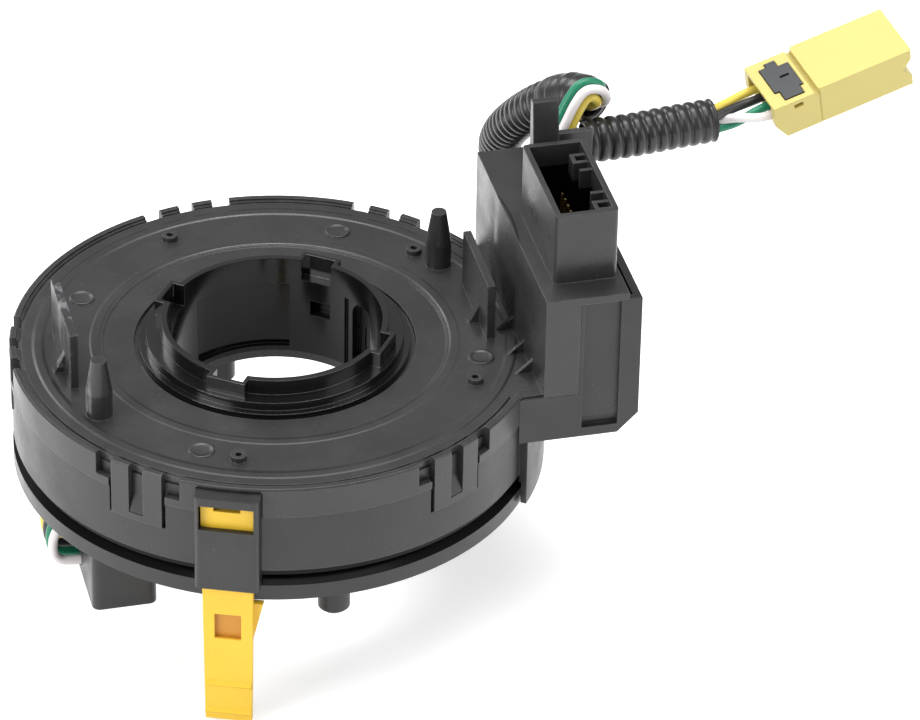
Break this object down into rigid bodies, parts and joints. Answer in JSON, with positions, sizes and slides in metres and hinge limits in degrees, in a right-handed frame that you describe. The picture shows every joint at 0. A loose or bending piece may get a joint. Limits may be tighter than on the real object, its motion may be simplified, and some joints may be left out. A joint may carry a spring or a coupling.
{
  "type": "steering clock spring",
  "caption": "Steering column clock spring: round casing with turning hub, flat cable inside, plug socket, wire pigtail with connector and a pull-out transport lock.",
  "frame": {"origin": "centre of the hub's bore at the flat outer face of the round cover", "axes": "+Z out of the cover's outer face along the turning axis, +X towards the rectangular connector case beside the drum, +Y along the case away from its front end"},
  "size_m": [0.1867, 0.1106, 0.0978],
  "materials": {
    "cover_grey": "satin",
    "housing_black": "satin",
    "hub_dark": "gloss",
    "flange_dark": "satin",
    "holder_natural": "matte",
    "pin_gold": "polished",
    "blade_tin": "satin",
    "cable_film": "gloss",
    "slip_sheet": "matte",
    "lock_yellow": "satin",
    "tube_grey": "satin",
    "tape_black": "satin",
    "wire_green": "satin",
    "wire_white": "satin",
    "wire_yellow": "satin",
    "wire_black": "satin",
    "connector_yellow": "satin",
    "insert_dark": "satin"
  },
  "bodies": {
    "stator": {"upper_cover": "cover_grey", "outer_housing": "housing_black", "socket_pins": "pin_gold", "terminal_holder": "holder_natural", "flat_cable": "cable_film", "upper_slip_sheet": "slip_sheet", "outer_cable_end": "holder_natural", "loom_lower": "tube_grey", "loom_upper": "tube_grey", "loom_tape": "tape_black", "wire_green": "wire_green", "wire_white": "wire_white", "wire_yellow": "wire_yellow", "wire_black": "wire_black", "connector_shell": "connector_yellow", "connector_insert": "insert_dark", "connector_blades": "blade_tin"},
    "rotor": {"rotor_hub": "hub_dark", "rotor_flange": "flange_dark", "rotor_wire_box": "flange_dark", "rotor_box_pins": "pin_gold", "rotor_wire_yellow": "wire_yellow", "rotor_wire_black": "wire_black", "rotor_wire_green": "wire_green", "rotor_wire_white": "wire_white", "inner_cable_end": "holder_natural", "lower_slip_sheet": "slip_sheet"},
    "lock": {"transport_lock": "lock_yellow"}
  },
  "joints": [
    {"name": "rotor_turn", "type": "hinge", "parent": "stator", "child": "rotor", "pos_m": [0, 0, 0], "axis": [0, 0, 1], "range_deg": [-900, 900], "deforming": ["flat_cable"]},
    {"name": "lock_slide", "type": "slide", "parent": "stator", "child": "lock", "axis": [0, 0, -1], "range_m": [0, 0.026]}
  ]
}
